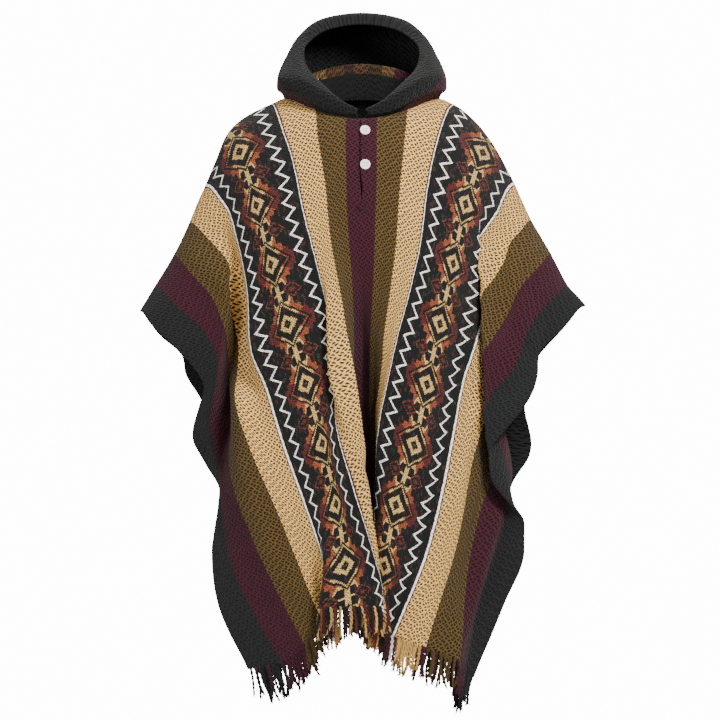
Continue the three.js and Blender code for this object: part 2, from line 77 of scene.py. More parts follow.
# Each row is a stripe edge or a fold line, by its flat distance from the middle of the cloth, from
# the wearer's right selvedge to the left. Its entries run from the shoulder or the neck to the hem:
# down, across, and out in front of the shoulder line.
FRONT_FALL = {
    -540: [(359, -381, 0), (384, -359, 30), (432, -308, 48), (490, -271, 42), (524, -280, 28),
           (573, -291, 14), (620, -269, 10), (671, -242, 18), (770, -257, 36), (858, -247, 48),
           (972, -195, 54)],
    -487: [(318, -356, 0), (342, -324, 38), (391, -271, 54), (444, -246, 56), (500, -254, 48),
           (544, -260, 38), (592, -252, 34), (634, -244, 34), (685, -240, 46), (790, -222, 68),
           (957, -137, 88)],
    -425: [(262, -322, 0), (286, -297, 36), (342, -251, 56), (372, -240, 56), (413, -232, 42),
           (481, -228, 20), (549, -224, 18), (600, -226, 46), (641, -222, 82), (755, -181, 102),
           (925, -98, 108)],
    -365: [(206, -295, 0), (228, -269, 36), (253, -247, 52), (279, -230, 62), (328, -224, 50),
           (396, -222, 30), (464, -221, 46), (507, -218, 84), (585, -193, 108), (714, -138, 120),
           (880, -73, 106)],
    -333: [(174, -282, 0), (196, -257, 38), (220, -238, 54), (248, -226, 66), (326, -213, 70),
           (427, -210, 72), (491, -192, 98), (585, -165, 114), (714, -113, 127), (800, -82, 114),
           (876, -48, 84)],
    -301: [(143, -268, 0), (165, -244, 40), (187, -229, 56), (248, -212, 72), (326, -198, 88),
           (427, -191, 98), (491, -164, 110), (578, -137, 120), (714, -88, 130), (775, -67, 126),
           (872, -50, 108)],
    -257: [(98, -249, 0), (122, -232, 42), (187, -203, 82), (289, -176, 104), (393, -155, 114),
           (491, -127, 124), (590, -100, 131), (688, -72, 137), (787, -64, 140), (868, -73, 134)],
    -213: [(54, -230, 0), (85, -208, 54), (187, -178, 100), (289, -153, 118), (393, -123, 126),
           (491, -93, 132), (590, -65, 137), (688, -43, 141), (787, -28, 146), (862, -22, 148)],
    -125: [(2, -152, 0), (48, -132, 72), (90, -118, 98), (192, -96, 124), (282, -74, 134),
           (345, -60, 134), (422, -50, 128), (481, -46, 129), (537, -44, 134), (651, -14, 146),
           (731, 10, 151), (801, 28, 152), (862, 42, 148)],
    -108: [(-6, -132, 6), (48, -110, 84), (90, -101, 104), (192, -80, 128), (282, -64, 137),
           (345, -60, 141), (422, -58, 146), (481, -53, 148), (537, -34, 149), (651, 10, 153),
           (731, 21, 153), (801, 28, 146), (858, 28, 140)],
    -74: [(15, -79, 66), (70, -73, 108), (141, -62, 124), (243, -52, 136), (328, -36, 142),
          (406, -23, 146), (468, -11, 149), (539, -1, 150), (600, 5, 148), (651, 2, 138),
          (760, -6, 126), (850, -6, 122)],
    -26: [(27, -26, 85), (70, -27, 112), (124, -26, 124), (182, -25, 131), (243, -21, 132),
          (328, -16, 126), (406, -14, 110), (515, -18, 98), (640, -18, 90), (760, -14, 84),
          (850, -13, 82)],
    0: [(31, 0, 88), (90, 0, 117), (182, 0, 132), (260, 0, 129), (345, 2, 113), (406, 2, 96),
        (515, 1, 74), (620, 2, 62), (740, 4, 56), (856, 6, 56)],
    26: [(27, 25, 85), (70, 25, 112), (124, 25, 124), (182, 23, 131), (260, 21, 130), (345, 18, 118),
         (406, 15, 106), (515, 14, 90), (640, 20, 76), (760, 24, 66), (862, 26, 62)],
    74: [(15, 79, 66), (70, 72, 108), (141, 65, 124), (243, 58, 134), (328, 48, 130), (406, 38, 125),
         (464, 34, 120), (549, 24, 109), (640, 30, 94), (760, 38, 84), (868, 40, 80)],
    108: [(-6, 132, 6), (48, 112, 84), (99, 101, 106), (173, 91, 122), (241, 85, 131), (328, 69, 135),
          (400, 53, 134), (484, 39, 132), (551, 27, 125), (650, 25, 112), (760, 22, 98), (872, 20, 91)],
    125: [(3, 155, 0), (56, 129, 76), (99, 118, 102), (173, 106, 120), (241, 98, 130), (328, 79, 136),
          (400, 60, 138), (484, 42, 137), (551, 29, 132), (650, 24, 118), (760, 16, 104), (874, 14, 96)],
    169: [(31, 192, 0), (62, 172, 56), (120, 158, 92), (185, 142, 110), (290, 122, 128), (393, 96, 136),
          (488, 75, 140), (590, 55, 140), (697, 28, 134), (787, 14, 121), (876, 9, 110)],
    213: [(65, 220, 0), (92, 204, 48), (183, 175, 96), (290, 153, 118), (393, 130, 130), (488, 110, 138),
          (590, 89, 142), (697, 56, 143), (787, 40, 138), (880, 24, 124)],
    257: [(102, 242, 0), (125, 226, 42), (183, 205, 76), (290, 178, 106), (393, 159, 119),
          (488, 138, 128), (590, 119, 134), (697, 91, 136), (787, 68, 134), (887, 38, 126)],
    301: [(141, 262, 0), (167, 241, 38), (192, 230, 55), (216, 213, 68), (241, 198, 76), (285, 212, 62),
          (345, 212, 62), (406, 197, 88), (478, 174, 106), (556, 159, 116), (639, 144, 122),
          (772, 111, 124), (913, 54, 122)],
    333: [(172, 276, 0), (194, 256, 36), (216, 240, 50), (245, 220, 68), (285, 199, 88), (330, 222, 62),
          (385, 228, 56), (440, 208, 82), (500, 188, 98), (640, 170, 110), (772, 138, 116),
          (923, 82, 116)],
    365: [(202, 290, 0), (222, 270, 36), (240, 254, 48), (279, 241, 62), (306, 224, 76), (335, 202, 94),
          (380, 226, 66), (430, 238, 52), (498, 226, 62), (557, 205, 88), (588, 195, 95),
          (751, 162, 108), (933, 108, 108)],
    395: [(231, 307, 0), (253, 286, 38), (285, 262, 58), (325, 240, 72), (362, 217, 92),
          (385, 203, 102), (425, 222, 80), (470, 238, 54), (540, 232, 54), (600, 212, 78),
          (640, 204, 88), (760, 176, 100), (945, 138, 100)],
    425: [(260, 324, 0), (282, 302, 38), (318, 268, 60), (365, 249, 76), (410, 219, 98),
          (430, 206, 106), (473, 222, 86), (532, 240, 56), (600, 236, 50), (651, 218, 72),
          (680, 207, 83), (753, 188, 92), (957, 167, 90)],
    455: [(289, 339, 0), (311, 314, 38), (365, 266, 72), (439, 230, 98), (481, 209, 108),
          (524, 222, 90), (583, 248, 54), (631, 257, 44), (677, 244, 54), (719, 230, 68),
          (790, 213, 75), (962, 170, 66)],
    487: [(316, 354, 0), (335, 327, 38), (389, 283, 66), (456, 259, 86), (508, 216, 104),
          (534, 208, 109), (566, 224, 96), (592, 238, 84), (622, 247, 74), (651, 254, 62),
          (694, 248, 52), (745, 234, 54), (862, 196, 58), (974, 174, 42)],
    513: [(333, 370, 0), (360, 336, 34), (410, 300, 58), (465, 277, 76), (505, 252, 94),
          (535, 226, 107), (562, 210, 113), (592, 217, 108), (622, 232, 98), (651, 244, 84),
          (690, 258, 62), (745, 256, 46), (862, 222, 44), (981, 183, 30)],
    540: [(350, 385, 0), (388, 346, 34), (432, 304, 56), (473, 300, 70), (502, 290, 84),
          (537, 266, 98), (562, 244, 108), (592, 222, 113), (622, 218, 112), (652, 224, 104),
          (680, 245, 84), (721, 279, 48), (768, 279, 36), (862, 244, 34), (988, 191, 20)],
}
BACK_NECKLINE = {0: (-8, 0, 56), 26: (-7, 25, 55), 74: (-2, 74, 44), 108: (-6, 132, 6)}
BACK_SELVEDGES = {
    -540: [(359, -381, 0), (400, -346, 30), (432, -310, 44), (462, -304, 52), (500, -280, 60),
           (540, -258, 62), (620, -236, 56), (720, -232, 60), (858, -222, 70), (972, -176, 78)],
    540: [(350, 385, 0), (388, 346, 32), (440, 300, 50), (517, 281, 64), (580, 293, 60),
          (600, 289, 56), (640, 262, 54), (720, 246, 56), (862, 218, 66), (988, 172, 74)],
}


def back_fall():
    rows = {}
    for width, front in FRONT_FALL.items():
        fall = list(BACK_SELVEDGES.get(width, front))
        if abs(width) in BACK_NECKLINE:
            down, across, out = BACK_NECKLINE[abs(width)]
            fall[0] = (down, math.copysign(across, width), out)
        narrowing = 1 if abs(width) == HALF_WIDTH else BACK_NARROWING
        rows[width] = []
        for k, (down, across, out) in enumerate(fall):
            drop = down + BACK_EXTRA_DROP * k / (len(fall) - 1)
            rows[width].append((drop, across * (narrowing if k else 1), out * BACK_DEPTH_SCALE))
    return rows


# A smooth line through values at rising places, with its slopes held so that it never overshoots.
def line_through(places, values):
    rise = [(values[i + 1] - values[i]) / (places[i + 1] - places[i]) for i in range(len(places) - 1)]
    slopes = [rise[0]]
    for i in range(1, len(rise)):
        before = places[i] - places[i - 1]
        after = places[i + 1] - places[i]
        mean = (rise[i - 1] * after + rise[i] * before) / (before + after)
        steepest = 3 * min(abs(rise[i - 1]), abs(rise[i]))
        turns = rise[i - 1] * rise[i] <= 0
        slopes.append(0 if turns else math.copysign(min(abs(mean), steepest), mean))
    slopes.append(rise[-1])
    at_places, at_values, at_slopes = np.array(places, float), np.array(values, float), np.array(slopes)

    def line(place):
        place = np.asarray(place, float)
        i = np.clip(np.searchsorted(at_places, place, side="left") - 1, 0, len(rise) - 1)
        span = at_places[i + 1] - at_places[i]
        s = (place - at_places[i]) / span
        a = 1 - s
        return (at_values[i] * a * a * (1 + 2 * s) + at_values[i + 1] * s * s * (3 - 2 * s)
                + span * s * a * (at_slopes[i] * a - at_slopes[i + 1] * s))
    return line


# The cloth as a grid of points: a row for each way down, 0 at the shoulder and 1 at the hem.
def cloth_grid(falls, facing, ways, widths):
    span = math.hypot(1, SHOULDER_ROUNDING) - SHOULDER_ROUNDING
    edges = []
    for fall in falls.values():
        top = fall[0][0]
        drop = fall[-1][0] - top
        at = [math.sqrt(((down - top) / drop * span + SHOULDER_ROUNDING) ** 2 - SHOULDER_ROUNDING ** 2)
              for down, _, _ in fall]
        across = line_through(at, [entry[1] for entry in fall])(ways)
        out = line_through(at, [entry[2] for entry in fall])(ways)
        share = (np.hypot(ways, SHOULDER_ROUNDING) - SHOULDER_ROUNDING) / span
        edges.append(np.stack([across, facing * out, -top - drop * share], axis=-1))
    edges = np.array(edges)
    flat = list(falls)
    grid = np.empty((len(ways), len(widths), 3))
    for j in range(len(ways)):
        for axis in range(3):
            grid[j, :, axis] = line_through(flat, list(edges[:, j, axis]))(widths)
    return grid


# How far down the cloth each point lies, flat, so that the rows of stitches cross the stripes as
# they do in the straight cloth. The neckline is cut in deeper towards the middle, and the cloth is
# drawn down over each shoulder, a little more on the wearer's right.
NECK_CUT = {0: 116, 26: 110, 74: 73, 108: 4, 125: 0}
DRAW_FROM = 125
DRAW_SPAN = 176
DRAW_RIGHT = 90
DRAW_LEFT = 75


def flat_down(grid, widths):
    steps = np.linalg.norm(np.diff(grid, axis=0), axis=2)
    length = np.vstack([np.zeros(len(widths)), np.cumsum(steps, axis=0)])
    cut = line_through(list(NECK_CUT), list(NECK_CUT.values()))(np.clip(np.abs(widths), 0, DRAW_FROM))
    past = np.clip(np.abs(widths) - DRAW_FROM, 0, None) / DRAW_SPAN
    draw = np.where(widths < 0, DRAW_RIGHT, DRAW_LEFT) * past ** 1.5
    return length + cut + draw


# Long soft folds, listed one by one: where each starts and ends in the flat cloth, its half width, and
# how far it stands out; less than nothing is a trough.
FRONT_FOLDS = [
    dict(start=(-342, 220), end=(-336, 500), half=30, out=-23.0),
    dict(start=(-398, 220), end=(-392, 480), half=22, out=7.0),
    dict(start=(372, 200), end=(480, 350), half=20, out=6.0),
    dict(start=(335, 210), end=(442, 370), half=19, out=-5.0),
    dict(start=(-236, 150), end=(-240, 760), half=16, out=-2.6),
    dict(start=(-186, 330), end=(-170, 960), half=15, out=2.8),
    dict(start=(-150, 120), end=(-146, 520), half=11, out=-2.2),
    dict(start=(-330, 420), end=(-322, 900), half=15, out=-3.0),
    dict(start=(-395, 560), end=(-386, 1050), half=17, out=3.0),
    dict(start=(-452, 640), end=(-446, 1060), half=16, out=-2.8),
    dict(start=(-510, 700), end=(-508, 1050), half=14, out=2.4),
    dict(start=(-52, 300), end=(-50, 820), half=10, out=-2.0),
    dict(start=(44, 240), end=(48, 760), half=10, out=-1.8),
    dict(start=(150, 200), end=(158, 820), half=14, out=-2.4),
    dict(start=(236, 280), end=(228, 900), half=15, out=2.4),
    dict(start=(284, 420), end=(280, 980), half=13, out=-2.6),
    dict(start=(348, 520), end=(352, 1000), half=13, out=2.6),
    dict(start=(408, 620), end=(404, 1040), half=14, out=-2.4),
    dict(start=(470, 700), end=(468, 1080), half=13, out=2.2),
    dict(start=(-300, 20), end=(-150, 130), half=18, out=2.2),
    dict(start=(300, 30), end=(150, 120), half=18, out=2.0),
]
BACK_FOLDS = [
    dict(start=(-300, 120), end=(-240, 900), half=22, out=4.0),
    dict(start=(-210, 200), end=(-180, 960), half=20, out=-4.2),
    dict(start=(-120, 160), end=(-96, 940), half=18, out=3.6),
    dict(start=(-30, 240), end=(-18, 900), half=17, out=-3.4),
    dict(start=(56, 200), end=(60, 920), half=18, out=3.4),
    dict(start=(150, 140), end=(140, 960), half=19, out=-4.0),
    dict(start=(252, 170), end=(226, 900), half=21, out=4.2),
    dict(start=(350, 380), end=(338, 980), half=18, out=-3.2),
    dict(start=(430, 500), end=(424, 1040), half=17, out=3.0),
    dict(start=(-392, 460), end=(-380, 1020), half=18, out=-3.2),
    dict(start=(-470, 560), end=(-462, 1050), half=16, out=2.8),
    dict(start=(-110, 60), end=(110, 66), half=20, out=2.0),
]
FOLD_FADE = 22.5
FOLD_WANDER = 5


def fold_lift(folds, widths, down):
    lift = np.zeros_like(down)
    across = np.broadcast_to(widths, down.shape)
    for fold in folds:
        start, end = np.array(fold["start"], float), np.array(fold["end"], float)
        length = np.linalg.norm(end - start)
        along = (end - start) / length
        run = (across - start[0]) * along[0] + (down - start[1]) * along[1]
        aside = (across - start[0]) * along[1] - (down - start[1]) * along[0]
        aside = aside + FOLD_WANDER * np.sin(run / 61 + fold["half"])
        ends = 1 / (1 + np.exp(-run / FOLD_FADE)) / (1 + np.exp((run - length) / FOLD_FADE))
        lift += fold["out"] * np.exp(-(aside / fold["half"]) ** 2) * ends
    return lift


def square_to(grid):
    across = np.gradient(grid, axis=1)
    down = np.gradient(grid, axis=0)
    square = np.cross(across, down)
    return square / np.linalg.norm(square, axis=2, keepdims=True)


# How much of the cloth's thickness is left in the last stitches at an edge.
EDGE_SHARES = [0.3, 0.78]


# A closed, thin shell on a grid of points. Its edges thin out over their last stitches, so they
# look rolled and not cut; rim says which do, in the order top, bottom, left, right. Cells that kept
# leaves out are open.
def shell(grid, square, flat, thickness, kept=None, rim=(1, 1, 1, 1)):
    rows, columns = grid.shape[:2]
    body = np.ones((rows, columns))
    for k, share in enumerate(EDGE_SHARES):
        lines = [np.s_[k, :], np.s_[-1 - k, :], np.s_[:, k], np.s_[:, -1 - k]]
        for line, rolled in zip(lines, rim):
            if rolled:
                body[line] = np.minimum(body[line], share)
    half = (thickness / 2) * body[..., None] * square
    points = np.concatenate([(grid + half).reshape(-1, 3), (grid - half).reshape(-1, 3)])
    far = rows * columns
    keep = np.ones((rows - 1, columns - 1), bool) if kept is None else kept
    faces = []
    for j in range(rows - 1):
        for i in range(columns - 1):
            if not keep[j, i]:
                continue
            a = j * columns + i
            b, c, d = a + 1, a + columns + 1, a + columns
            faces.append((a, b, c, d))
            faces.append((a + far, d + far, c + far, b + far))
            if j == 0 or not keep[j - 1, i]:
                faces.append((b, a, a + far, b + far))
            if j == rows - 2 or not keep[j + 1, i]:
                faces.append((d, c, c + far, d + far))
            if i == 0 or not keep[j, i - 1]:
                faces.append((a, d, d + far, a + far))
            if i == columns - 2 or not keep[j, i + 1]:
                faces.append((c, b, b + far, c + far))
    return points, faces, np.concatenate([flat.reshape(-1, 2)] * 2)


# Makes one object of several shells or strands, with the place in the flat cloth as its UV map.
def soft_piece(name, parts, material):
    points = np.concatenate([part[0] for part in parts]) * MM
    flats = np.concatenate([part[2] for part in parts]) * MM
    faces = []
    first = 0
    for part in parts:
        faces += [tuple(index + first for index in face) for face in part[1]]
        first += len(part[0])
    mesh = bpy.data.meshes.new(name)
    mesh.from_pydata(points.tolist(), [], faces)
    layer = mesh.uv_layers.new(name="cloth")
    corners = np.empty(len(mesh.loops), int)
    mesh.loops.foreach_get("vertex_index", corners)
    layer.data.foreach_set("uv", flats[corners].ravel())
    shaped = bmesh.new()
    shaped.from_mesh(mesh)
    bmesh.ops.delete(shaped, geom=[v for v in shaped.verts if not v.link_faces], context="VERTS")
    bmesh.ops.recalc_face_normals(shaped, faces=shaped.faces)
    for face in shaped.faces:
        face.smooth = True
    shaped.to_mesh(mesh)
    shaped.free()
    mesh.materials.append(material)
    piece = bpy.data.objects.new(name, mesh)
    bpy.context.scene.collection.objects.link(piece)
    return piece


# A value on its way through a material. Plain arithmetic on it adds the Math nodes, and every other
# node comes from node(): its type, its settings, the values or links of its sockets, and its output.
class Wire:
    def __init__(self, tree, socket=None):
        self.tree = tree
        self.socket = socket

    def node(self, kind, settings=None, sockets=None, output=0):
        made = self.tree.nodes.new(kind)
        for name, value in (settings or {}).items():
            if name == "stops":
                ramp = made.color_ramp
                ramp.interpolation = "CONSTANT"
                ramp.elements.remove(ramp.elements[1])
                ramp.elements[0].position, ramp.elements[0].color = value[0]
                for position, colour in value[1:]:
                    ramp.elements.new(position).color = colour
            else:
                setattr(made, name, value)
        for name, value in (sockets or {}).items():
            if isinstance(value, Wire):
                self.tree.links.new(value.socket, made.inputs[name])
            else:
                made.inputs[name].default_value = value
        return Wire(self.tree, made.outputs[output] if made.outputs else None)

    def output(self, index):
        return Wire(self.tree, self.socket.node.outputs[index])

    def math(self, operation, *values):
        return self.node("ShaderNodeMath", {"operation": operation}, dict(enumerate(values)))

    def __add__(self, other):
        return self.math("ADD", self, other)

    def __sub__(self, other):
        return self.math("SUBTRACT", self, other)

    def __rsub__(self, other):
        return self.math("SUBTRACT", other, self)

    def __mul__(self, other):
        return self.math("MULTIPLY", self, other)

    def __truediv__(self, other):
        return self.math("DIVIDE", self, other)

    def __pow__(self, other):
        return self.math("POWER", self, other)

    def __mod__(self, other):
        return self.math("FLOORED_MODULO", self, other)

    def __lt__(self, other):
        return self.math("LESS_THAN", self, other)

    def __gt__(self, other):
        return self.math("GREATER_THAN", self, other)

    def __abs__(self):
        return self.math("ABSOLUTE", self)

    __radd__ = __add__
    __rmul__ = __mul__

    def sine(self):
        return self.math("SINE", self)

    def at_least(self, low):
        return self.math("MAXIMUM", self, low)

    def held(self):
        return self.math("MINIMUM", self.at_least(0), 1)

    # Up and down again over each length.
    def there_and_back(self, length):
        return self.math("PINGPONG", self, length)

    # A whole number of steps, so a slanted edge climbs stitch by stitch.
    def stepped(self, step):
        return self.math("SNAP", self + step / 2, step)

    def mix(self, share, under, over, way="MIX"):
        return self.node("ShaderNodeMix", {"data_type": "RGBA", "blend_type": way},
                         {0: share, 6: under, 7: over}, output=2)

    # This colour, darker or lighter by a plain number.
    def shaded(self, shade):
        grey = self.node("ShaderNodeCombineColor", {}, {0: shade, 1: shade, 2: shade})
        return self.mix(1.0, self, grey, way="MULTIPLY")

    # The colour of the stop below this number.
    def banded(self, stops):
        return self.node("ShaderNodeValToRGB", {"stops": stops}, {"Fac": self})

    def shader(self, sockets):
        surface = self.node("ShaderNodeBsdfPrincipled", {}, sockets)
        self.node("ShaderNodeOutputMaterial", {}, {0: surface})


def new_material(name):
    material = bpy.data.materials.new(name)
    material.use_nodes = True
    material.node_tree.nodes.clear()
    return material, Wire(material.node_tree)


# A yarn's colour, and how open its stitches are, from felted to loose.
def yarn(red, green, blue, openness=1.0):
    def linear(value):
        value /= 255
        return value / 12.92 if value <= 0.04045 else ((value + 0.055) / 1.055) ** 2.4
    return (linear(red), linear(green), linear(blue), openness)


CHARCOAL = yarn(24, 25, 26, 0.75)
BURGUNDY = yarn(57, 13, 29, 0.85)
OLIVE = yarn(80, 61, 26, 1.0)
TAN = yarn(214, 168, 96, 1.0)
DARK_RED = yarn(84, 26, 36, 0.7)
WHITE = yarn(246, 244, 238, 0.5)
INK = yarn(17, 17, 17, 0.6)
YELLOW = yarn(198, 162, 98, 0.75)
RUST = yarn(132, 68, 42, 0.75)
BROWN = yarn(80, 32, 30, 0.75)
SMALL_RUST = yarn(102, 48, 42, 0.75)

# Outer edge of each stripe, flat, from the middle of the cloth.
STRIPES = [
    dict(to=26, colour=BURGUNDY),
    dict(to=74, colour=OLIVE),
    dict(to=123.6, colour=TAN),
    dict(to=125.4, colour=DARK_RED),
    dict(to=128.2, colour=WHITE),
    dict(to=297.5, colour=INK),
    dict(to=300.2, colour=WHITE),
    dict(to=302.2, colour=DARK_RED),
    dict(to=365, colour=TAN),
    dict(to=425, colour=OLIVE),
    dict(to=487, colour=BURGUNDY),
    dict(to=560, colour=CHARCOAL),
]
WALE = 10.8
COURSE = 6.6
STITCH_SLANT = 0.17
STRAND_SWAY = 0.12
YARN_WIDTH = 2.8
EDGE_DRIFT = 2.4
ROW_DRIFT = 3
STRAND_SHADE = 1.36
HOLE_SHADE = 1.5
STITCH_RELIEF = 2.2
FINE_WALE = 7.6
FINE_COURSE = 4.2
BAND_MIDDLE = 213
BAND_HALF = 84.5
DIAMOND_PITCH = 106
FIRST_DIAMOND = {"right": 101, "left": 80}
FINE_STITCH = 2.7
DIAMOND_HEART = 2
DIAMOND_RING = (7.5, 14.6)
DIAMOND_OUTLINE = (26.6, 29.2)
BLOCKS_INNER = 31
BLOCKS_OUTER = 46.5
SMALL_DIAMOND_PLACE = 28
SMALL_DIAMOND = 16
SMALL_OUTLINE = (10.8, 13.4)
BAND_FLECKS = [(0, INK), (0.84, yarn(38, 44, 28)), (0.89, yarn(58, 36, 26)), (0.95, yarn(50, 26, 44))]
ZIGZAG_MIDDLE = 62
ZIGZAG_RUN = 13.75
ZIGZAG_SWING = 18
ZIGZAG_YARN = 2.7


def stripe_stops(stripes, reach):
    starts = [0] + [stripe["to"] for stripe in stripes[:-1]]
    return [(start / reach, stripe["colour"]) for start, stripe in zip(starts, stripes)]


# The face of a loose knit: strands of yarn that run down the cloth and sway apart and together, each
# against the next, so that slanted dark holes stand between them like the cells of a net.
def stitch_height(across, down, wale, course):
    row = down / course * math.pi
    slant = row.sine() * STITCH_SLANT
    side = abs((across / wale + slant) % 1 - 0.5)
    sway = (row * 2).sine() * STRAND_SWAY
    off = (side - 0.25 - sway) / 0.25
    return (1.04 - (off * off) ** 1.1).held()


# The colours of the patterned band: rings of diamonds, stepped blocks round them, small diamonds
# between them and a zigzag along each edge, all worked in fine stitches.
def band_colour(wire, across, down, ground):
    right, left = FIRST_DIAMOND["right"], FIRST_DIAMOND["left"]
    shift = right + (across > 0) * (left - right)
    aside = abs(abs(across) - BAND_MIDDLE)
    run = down - shift + DIAMOND_PITCH / 2
    along = abs(run % DIAMOND_PITCH - DIAMOND_PITCH / 2)
    between = DIAMOND_PITCH / 2 - along
    fine_aside = aside.stepped(FINE_STITCH)
    fine_along = along.stepped(FINE_STITCH)
    rings = fine_aside * 0.74 + fine_along * 0.8
    blocks = aside.stepped(9.6) * 0.74 + along.stepped(8) * 0.8
    corner = aside / (aside + along + 0.1)

    def inside(value, low, high):
        return (value > low) * (value < high)

    rust_or_ink = wire.mix(fine_along % (FINE_STITCH * 3) > FINE_STITCH * 2, RUST, ground)
    flank = wire.mix(inside(corner, 0.66, 2), wire.mix(corner > 0.34, YELLOW, rust_or_ink), BROWN)
    colour = ground
    reach = BLOCKS_OUTER - (corner < 0.3) * 7.5
    colour = wire.mix((blocks > BLOCKS_INNER) * (blocks < reach) * (rings > 33.5), colour, flank)
    colour = wire.mix(inside(rings, *DIAMOND_OUTLINE), colour, wire.mix(corner > 0.66, YELLOW, RUST))
    colour = wire.mix(inside(rings, *DIAMOND_RING), colour, YELLOW)
    colour = wire.mix(rings < DIAMOND_HEART, colour, OLIVE)
    small = abs(fine_aside - SMALL_DIAMOND_PLACE) * 0.76 + between.stepped(FINE_STITCH)
    colour = wire.mix(small < SMALL_DIAMOND, colour, ground)
    colour = wire.mix(inside(small, *SMALL_OUTLINE), colour, SMALL_RUST)
    colour = wire.mix(small < 6, colour, BROWN)
    colour = wire.mix(small < 2, colour, OLIVE)
    link = (between < 1.5) * (aside < 13)
    colour = wire.mix(link, colour, YELLOW)
    swing = (down.there_and_back(ZIGZAG_RUN) / ZIGZAG_RUN - 0.5) * ZIGZAG_SWING
    zigzag = abs(aside - ZIGZAG_MIDDLE - swing) < ZIGZAG_YARN
    zigzag_ground = inside(aside, 49, BAND_HALF)
    colour = wire.mix(zigzag_ground, colour, ground)
    return wire.mix(zigzag, colour, WHITE)


# Wool knit in stripes. Rows and edges wander a little, the holes are dark, and the yarn is fuzzy.
def knit_material(name, stripes, reach, band=False, relief=1.0, along=False):
    material, wire = new_material(name)
    flat = wire.node("ShaderNodeUVMap", {"uv_map": "cloth"})
    spread = wire.node("ShaderNodeTexNoise", {}, {"Vector": flat, "Scale": 60, "Detail": 2}, output=1)
    place = wire.node("ShaderNodeSeparateXYZ", {}, {0: flat})
    drift = wire.node("ShaderNodeSeparateXYZ", {}, {0: spread})
    flat_across = place * 1000
    flat_down = place.output(1) * 1000
    drift_across = drift - 0.5
    drift_down = drift.output(1) - 0.5
    across = flat_across + drift_across * EDGE_DRIFT
    down = flat_down + drift_down * ROW_DRIFT

    colour = (abs(down if along else across) / reach).banded(stripe_stops(stripes, reach))
    openness = colour.output(1)
    wale = WALE
    course = COURSE
    cells = wire.node("ShaderNodeCombineXYZ", {}, {0: across.stepped(YARN_WIDTH), 1: down.stepped(COURSE)})
    chance = wire.node("ShaderNodeTexWhiteNoise", {"noise_dimensions": "3D"}, {"Vector": cells})
    if band:
        shifted = wire.node("ShaderNodeVectorMath", {"operation": "ADD"}, {0: cells, 1: (31.7, 12.1, 5.3)})
        fleck = wire.node("ShaderNodeTexWhiteNoise", {"noise_dimensions": "3D"}, {"Vector": shifted})
        patterned = band_colour(wire, across, down, fleck.banded(BAND_FLECKS))
        in_band = (abs(across) > BAND_MIDDLE - BAND_HALF) * (abs(across) < BAND_MIDDLE + BAND_HALF)
        colour = wire.mix(in_band, colour, patterned)
        wale = WALE - in_band * (WALE - FINE_WALE)
        course = COURSE - in_band * (COURSE - FINE_COURSE)

    height = stitch_height(flat_across + drift_across * 5, flat_down + drift_down * 5, wale, course)
    fuzz = wire.node("ShaderNodeTexNoise", {},
                     {"Vector": flat, "Scale": 800, "Detail": 3, "Roughness": 0.7})
    worn = wire.node("ShaderNodeTexNoise", {}, {"Vector": flat, "Scale": 9, "Detail": 2})
    hole = (1 - height) * openness
    uneven = (chance - 0.5) * 0.2 + (fuzz - 0.5) * 0.5 + (worn - 0.5) * 0.2
    shade = (STRAND_SHADE - hole * HOLE_SHADE + uneven).at_least(0.06)
    bump = wire.node("ShaderNodeBump", {}, {"Strength": relief, "Distance": STITCH_RELIEF * MM,
                                            "Height": height * openness + fuzz * 0.22})
    wire.shader({"Base Color": colour.shaded(shade), "Normal": bump, "Roughness": 0.92,
                 "Specular IOR Level": 0.2, "Sheen Weight": 0.06, "Sheen Roughness": 0.55})
    return material


striped_knit = knit_material("striped_knit", STRIPES, STRIPES[-1]["to"], band=True)


# Grid lines closer at the edges and at the slit, where the cloth rolls.
def grid_places(low, high, count, fine=(0, 1.0, 2.6)):
    inner = np.linspace(low + fine[-1] + 2.5, high - fine[-1] - 2.5, count)
    start = [low + step for step in fine]
    end = [high - step for step in reversed(fine)]
    return np.concatenate([start, inner, end])


right_widths = grid_places(-HALF_WIDTH, -SLIT_WIDTH / 2, 84)
cloth_widths = np.concatenate([right_widths, -right_widths[::-1]])
slit_column = len(right_widths) - 1
front_ways = np.concatenate([np.linspace(0, 1, 133)[:-1], [0.9955, 0.9985, 1]])
back_ways = np.concatenate([np.linspace(0, 1, 107)[:-1], [0.9955, 0.9985, 1]])

front_grid = cloth_grid(FRONT_FALL, -1, front_ways, cloth_widths)
back_grid = cloth_grid(back_fall(), 1, back_ways, cloth_widths)
front_down = flat_down(front_grid, cloth_widths)
back_down = flat_down(back_grid, cloth_widths)


# The point of a row of the cloth at a flat distance from its middle.
def at_width(width, row):
    return np.array([np.interp(width, cloth_widths, row[:, axis]) for axis in range(3)])


# Small unevenness of thick wool, never more than a millimetre or two.
def unevenness(grid, size, seed):
    flat_points = grid.reshape(-1, 3)
    lifts = [noise.noise(Vector(point / size) + Vector((seed, 0, 0))) for point in flat_points]
    return np.array(lifts).reshape(grid.shape[:2])


def finished(grid, down, folds, outward):
    square = square_to(grid) * outward
    lift = fold_lift(folds, cloth_widths, down)
    lift += 1.3 * unevenness(grid, 42, 3.1) + 0.5 * unevenness(grid, 15, 8.2)
    fade = np.clip(np.arange(len(grid)) / 8, 0, 1)[:, None]
    return grid + square * (lift * fade)[..., None]


front_grid = finished(front_grid, front_down, FRONT_FOLDS, -1)
back_grid = finished(back_grid, back_down, BACK_FOLDS, 1)

